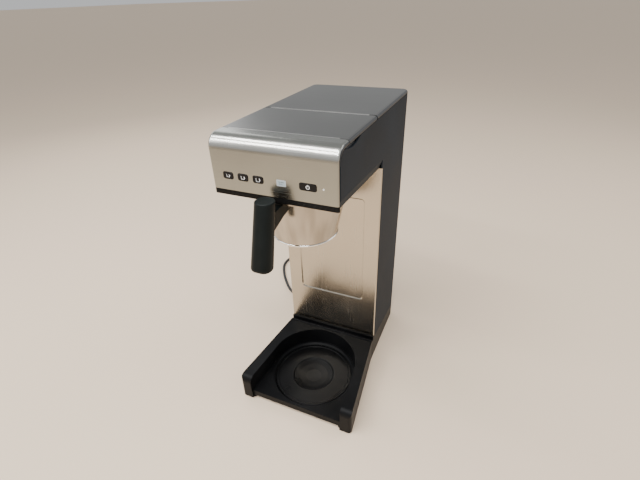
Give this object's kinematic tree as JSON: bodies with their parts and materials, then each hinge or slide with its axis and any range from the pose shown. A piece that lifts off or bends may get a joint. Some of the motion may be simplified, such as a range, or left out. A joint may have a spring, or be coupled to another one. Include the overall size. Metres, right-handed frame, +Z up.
{
  "type": "filter coffee machine",
  "caption": "Tall drip coffee maker with steel head and splash plate, dark side panels, slide-out brew basket and an open jug bay with a drip disc.",
  "frame": {"origin": "centre of the machine's footprint on the table, the lead left out", "axes": "+Z up, -Y towards the user, +X to the user's right"},
  "size_m": [0.3786, 0.6072, 0.545],
  "materials": {
    "top_steel": "brushed",
    "face_steel": "brushed",
    "plate_steel": "brushed",
    "basket_steel": "satin",
    "polished_steel": "polished",
    "charcoal_panel": "matte",
    "black_plastic": "satin",
    "trim_plastic": "satin",
    "handle_plastic": "satin",
    "button_plastic": "gloss",
    "display_glass": "gloss",
    "display_dark": "matte",
    "lamp_lens": "gloss",
    "foot_rubber": "matte",
    "screw_steel": "zinc",
    "frame_steel": "zinc",
    "tank_plastic": "satin",
    "heater_aluminium": "cast",
    "hose_silicone": "satin",
    "valve_plastic": "satin",
    "board_green": "matte",
    "sensor_body": "matte",
    "wire_sleeve": "satin",
    "cord_black": "satin",
    "pin_brass": "nickelled",
    "tie_black": "matte"
  },
  "bodies": {
    "housing": {"base_moulding": "black_plastic", "bottom_plate": "black_plastic", "rubber_feet": "foot_rubber", "bottom_plate_screws": "screw_steel", "left_side_panel": "charcoal_panel", "right_side_panel": "charcoal_panel", "rear_cover": "charcoal_panel", "splash_plate": "plate_steel", "front_panel": "face_steel", "rear_top_cover": "top_steel", "front_trim": "trim_plastic", "head_underside": "black_plastic", "left_basket_rail": "frame_steel", "right_basket_rail": "frame_steel", "spray_head": "black_plastic", "display_window": "display_glass", "display_module": "display_dark", "status_lamp": "lamp_lens", "display_board": "board_green", "display_connector": "valve_plastic", "button_switches": "button_plastic", "water_tank": "tank_plastic", "tank_valve": "valve_plastic", "flow_heater": "heater_aluminium", "thermostat": "sensor_body", "thermal_fuse": "sensor_body", "cold_water_hose": "hose_silicone", "riser_hose": "hose_silicone", "chassis_frame": "frame_steel", "lid_hinge_pin": "screw_steel", "control_board": "board_green", "board_spacers": "valve_plastic", "inner_wires": "wire_sleeve", "cord_strain_relief": "cord_black", "mains_cord": "cord_black", "cord_coil": "cord_black", "cord_tie": "tie_black", "mains_plug": "cord_black", "plug_pins": "pin_brass"},
    "basket": {"filter_basket": "basket_steel", "basket_base_ring": "polished_steel", "basket_handle": "handle_plastic", "handle_screws": "screw_steel"},
    "lid": {"reservoir_lid": "top_steel"},
    "disc": {"drip_disc": "button_plastic"},
    "button_left": {"brew_button_left": "button_plastic"},
    "button_middle": {"brew_button_middle": "button_plastic"},
    "button_right": {"brew_button_right": "button_plastic"},
    "button_power": {"power_button": "button_plastic"}
  },
  "joints": [
    {"name": "basket_slide", "type": "slide", "parent": "housing", "child": "basket", "axis": [0, -1, 0], "range_m": [0, 0.2]},
    {"name": "lid_hinge", "type": "hinge", "parent": "housing", "child": "lid", "pos_m": [0, 0.0042, 0.5412], "axis": [-1, 0, 0], "range_deg": [0, 95]},
    {"name": "drip_disc_lift", "type": "slide", "parent": "housing", "child": "disc", "axis": [0, 0, 1], "range_m": [0, 0.06]},
    {"name": "brew_button_left_press", "type": "slide", "parent": "housing", "child": "button_left", "axis": [0, 1, 0], "range_m": [0, 0.0008], "stiffness_N_per_m": 400, "springref_m": -0.0006},
    {"name": "brew_button_middle_press", "type": "slide", "parent": "housing", "child": "button_middle", "axis": [0, 1, 0], "range_m": [0, 0.0008], "stiffness_N_per_m": 400, "springref_m": -0.0006},
    {"name": "brew_button_right_press", "type": "slide", "parent": "housing", "child": "button_right", "axis": [0, 1, 0], "range_m": [0, 0.0008], "stiffness_N_per_m": 400, "springref_m": -0.0006},
    {"name": "power_button_press", "type": "slide", "parent": "housing", "child": "button_power", "axis": [0, 1, 0], "range_m": [0, 0.0008], "stiffness_N_per_m": 400, "springref_m": -0.0006}
  ]
}
